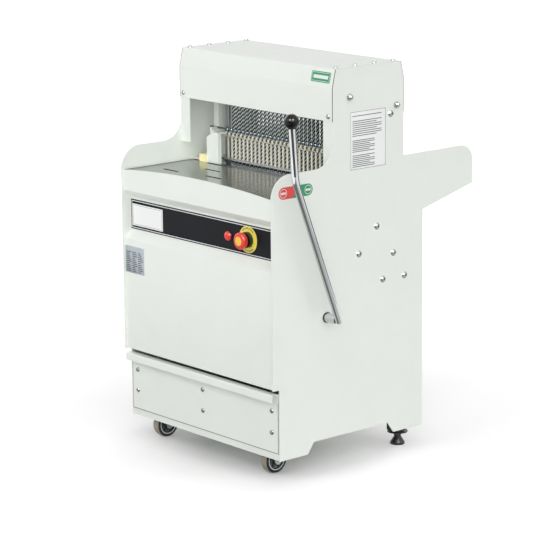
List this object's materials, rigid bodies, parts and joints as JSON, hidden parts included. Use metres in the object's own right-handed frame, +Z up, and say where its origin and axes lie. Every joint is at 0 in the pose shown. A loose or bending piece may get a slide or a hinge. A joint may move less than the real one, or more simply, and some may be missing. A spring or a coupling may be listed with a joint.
{
  "type": "bread slicer machine",
  "caption": "Floor-standing bread slicer: white sheet cabinet, opposed blade frames in a head, lever-driven comb pusher, rear tray, crumb drawer, casters.",
  "frame": {"origin": "middle of the bounding box, on the floor", "axes": "+X to the lever side, the right of someone who faces the front; +Y from the front to the rear tray; +Z up"},
  "size_m": [0.6744, 0.704, 1.027],
  "materials": {
    "white_paint": "fine-grained satin paint",
    "table_steel": "brushed",
    "bright_steel": "polished",
    "plain_steel": "zinc plated",
    "cast_metal": "grey primer",
    "black_panel": "satin film",
    "black_plastic": "smooth moulded",
    "nylon": "moulded",
    "red_plastic": "smooth moulded",
    "yellow_plastic": "smooth moulded",
    "belt_rubber": "matt",
    "wheel_rubber": "matt"
  },
  "bodies": {
    "cabinet": {"left_side_plate": "white_paint", "right_side_plate": "white_paint", "front_fascia": "white_paint", "control_panel": "black_panel", "base_pan": "white_paint", "rear_panel": "white_paint", "motor_shelf": "white_paint", "head_cover": "white_paint", "infeed_table": "table_steel", "outfeed_tray": "table_steel", "tie_bars": "white_paint", "bearing_plates": "cast_metal", "guide_posts": "white_paint", "lever_bushes": "black_plastic", "drawer_rails": "plain_steel", "motor_body": "cast_metal", "drive_belt": "belt_rubber", "control_box": "black_panel", "estop_disc": "yellow_plastic", "estop_collar": "black_plastic", "lamp_lens": "red_plastic", "side_bolts": "bright_steel", "sheet_screws": "bright_steel", "caster_mounts": "plain_steel", "foot_sockets": "black_plastic", "cable_gland": "black_plastic"},
    "drawer": {"drawer_front": "white_paint", "drawer_box": "white_paint", "drawer_screws": "bright_steel"},
    "lever": {"lever_rod": "bright_steel", "lever_ball": "black_plastic", "lever_shaft": "bright_steel", "fork_arms": "plain_steel"},
    "pusher": {"pusher_posts": "white_paint", "pusher_rods": "bright_steel", "pusher_fingers": "nylon", "pusher_shoes": "yellow_plastic", "pusher_tongues": "plain_steel"},
    "front_blade_frame": {"front_frame": "plain_steel", "front_frame_shoes": "nylon", "front_blades": "bright_steel"},
    "rear_blade_frame": {"rear_frame": "plain_steel", "rear_frame_shoes": "nylon", "rear_blades": "bright_steel"},
    "crank": {"crankshaft": "plain_steel", "crank_pulley": "cast_metal"},
    "front_rods": {"front_conrods": "plain_steel"},
    "rear_rods": {"rear_conrods": "plain_steel"},
    "rotor": {"motor_pulley": "cast_metal"},
    "stop_stem": {"estop_stem": "black_plastic"},
    "stop_button": {"estop_head": "red_plastic"},
    "left_caster": {"left_caster_fork": "plain_steel"},
    "left_wheel": {"left_wheel_hub": "black_plastic", "left_wheel_tyre": "wheel_rubber"},
    "right_caster": {"right_caster_fork": "plain_steel"},
    "right_wheel": {"right_wheel_hub": "black_plastic", "right_wheel_tyre": "wheel_rubber"},
    "left_level_foot": {"left_foot": "black_plastic"},
    "right_level_foot": {"right_foot": "black_plastic"}
  },
  "joints": [
    {"name": "drawer_slide", "type": "slide", "parent": "cabinet", "child": "drawer", "axis": [0, -1, 0], "range_m": [0, 0.3]},
    {"name": "lever_swing", "type": "hinge", "parent": "cabinet", "child": "lever", "pos_m": [-0.02525, -0.163, 0.4], "axis": [1, 0, 0], "range_deg": [0, 36.05]},
    {"name": "pusher_slide", "type": "slide", "parent": "cabinet", "child": "pusher", "axis": [0, -1, 0], "range_m": [0, 0.1701]},
    {"name": "front_frame_slide", "type": "slide", "parent": "cabinet", "child": "front_blade_frame", "axis": [0, 0, 1], "range_m": [-0.015, 0.015]},
    {"name": "rear_frame_slide", "type": "slide", "parent": "cabinet", "child": "rear_blade_frame", "axis": [0, 0, 1], "range_m": [-0.015, 0.015]},
    {"name": "crank_spin", "type": "hinge", "parent": "cabinet", "child": "crank", "pos_m": [-0.02525, -0.0555, 0.43], "axis": [1, 0, 0], "continuous": true},
    {"name": "front_rod_turn", "type": "hinge", "parent": "crank", "child": "front_rods", "pos_m": [-0.02525, -0.0705, 0.43], "axis": [1, 0, 0], "continuous": true},
    {"name": "rear_rod_turn", "type": "hinge", "parent": "crank", "child": "rear_rods", "pos_m": [-0.02525, -0.0405, 0.43], "axis": [1, 0, 0], "continuous": true},
    {"name": "motor_spin", "type": "hinge", "parent": "cabinet", "child": "rotor", "pos_m": [-0.02525, 0.077, 0.33], "axis": [1, 0, 0], "continuous": true},
    {"name": "stop_press", "type": "slide", "parent": "cabinet", "child": "stop_stem", "axis": [0, 1, 0], "range_m": [0, 0.004], "stiffness_N_per_m": 2000},
    {"name": "stop_twist", "type": "hinge", "parent": "stop_stem", "child": "stop_button", "pos_m": [0.15775, -0.335, 0.604], "axis": [0, 1, 0], "range_deg": [0, 45], "stiffness_Nm_per_rad": 0.05},
    {"name": "left_caster_swivel", "type": "hinge", "parent": "cabinet", "child": "left_caster", "pos_m": [-0.24525, -0.249, 0.085], "axis": [0, 0, 1], "continuous": true},
    {"name": "left_wheel_spin", "type": "hinge", "parent": "left_caster", "child": "left_wheel", "pos_m": [-0.24525, -0.274, 0.035], "axis": [1, 0, 0], "continuous": true},
    {"name": "right_caster_swivel", "type": "hinge", "parent": "cabinet", "child": "right_caster", "pos_m": [0.19475, -0.249, 0.085], "axis": [0, 0, 1], "continuous": true},
    {"name": "right_wheel_spin", "type": "hinge", "parent": "right_caster", "child": "right_wheel", "pos_m": [0.19475, -0.274, 0.035], "axis": [1, 0, 0], "continuous": true},
    {"name": "left_foot_turn", "type": "hinge", "parent": "cabinet", "child": "left_level_foot", "pos_m": [-0.27425, 0.132, 0.04], "axis": [0, 0, 1], "continuous": true},
    {"name": "right_foot_turn", "type": "hinge", "parent": "cabinet", "child": "right_level_foot", "pos_m": [0.22375, 0.132, 0.04], "axis": [0, 0, 1], "continuous": true}
  ],
  "couplings": [
    {"joint": "pusher_slide", "follows": "lever_swing", "m_per_rad": 0.27023},
    {"joint": "rear_frame_slide", "follows": "front_frame_slide", "ratio": -1},
    {"joint": "front_rod_turn", "follows": "crank_spin", "ratio": -1},
    {"joint": "rear_rod_turn", "follows": "crank_spin", "ratio": -1},
    {"joint": "motor_spin", "follows": "crank_spin", "ratio": 2.2748}
  ]
}
